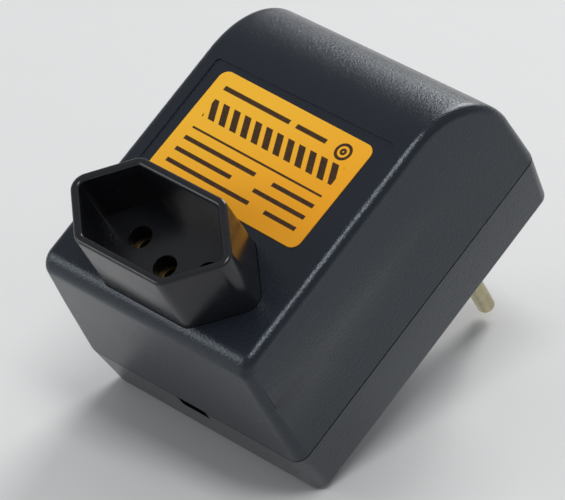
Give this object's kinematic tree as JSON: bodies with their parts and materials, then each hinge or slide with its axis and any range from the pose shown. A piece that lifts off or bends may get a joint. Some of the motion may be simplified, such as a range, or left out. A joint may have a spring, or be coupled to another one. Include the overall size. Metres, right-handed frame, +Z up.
{
  "type": "travel voltage converter",
  "caption": "Black plug-in travel voltage converter: a deep two-part box with a hexagonal socket and an orange label in front, and round plug pins on a nose behind.",
  "frame": {"origin": "centre of the plug's face, midway between its two live pins", "axes": "+Y the way the plug pins point, into the wall outlet; +Z up as it hangs on the outlet; +X to the right seen from the front"},
  "size_m": [0.0622, 0.1032, 0.083],
  "materials": {
    "case_plastic": "black, fine spark-eroded grain",
    "socket_plastic": "black, smooth, half gloss",
    "label_film": "orange-yellow self-adhesive film",
    "pin_brass": "plated brass, dull",
    "contact_brass": "spring brass",
    "board_brown": "phenolic board",
    "core_steel": "silicon steel laminations, varnished",
    "bobbin_nylon": "natural nylon",
    "enamelled_copper": "copper wire, enamelled",
    "winding_tape": "polyester tape",
    "zinc_steel": "zinc-plated steel",
    "fibre_washer": "vulcanised fibre",
    "tinned_wire": "tinned copper",
    "fuse_case": "thermal fuse can",
    "wire_black": "PVC insulation, black",
    "wire_blue": "PVC insulation, light blue",
    "wire_red": "PVC insulation, red",
    "wire_green": "PVC insulation, green and yellow",
    "sleeve_black": "shrink sleeve"
  },
  "bodies": {
    "root": {"front_shell": "case_plastic", "rear_cover": "case_plastic", "rating_label": "label_film", "socket_body": "socket_plastic", "contact_plate": "board_brown", "contact_plate_screws": "zinc_steel", "live_contact_left": "contact_brass", "live_contact_right": "contact_brass", "earth_contact": "contact_brass", "plug_pin_left": "pin_brass", "plug_pin_right": "pin_brass", "plug_pin_earth": "pin_brass", "pin_retainer": "board_brown", "retainer_screws": "zinc_steel", "socket_screws": "zinc_steel", "case_screws": "zinc_steel", "core_screws": "zinc_steel", "core_washers": "fibre_washer", "core_e_stack": "core_steel", "core_i_stack": "core_steel", "bobbin": "bobbin_nylon", "bobbin_terminals": "tinned_wire", "common_winding": "enamelled_copper", "interlayer_tape": "winding_tape", "series_winding": "enamelled_copper", "outer_tape": "winding_tape", "thermal_fuse": "fuse_case", "fuse_strap": "winding_tape", "fuse_sleeves": "sleeve_black", "shrink_sleeves": "sleeve_black", "lead_line_in": "wire_black", "lead_fuse_out": "wire_black", "lead_neutral_in": "wire_blue", "lead_output_live": "wire_red", "lead_output_neutral": "wire_blue", "lead_earth": "wire_green"}
  },
  "joints": []
}
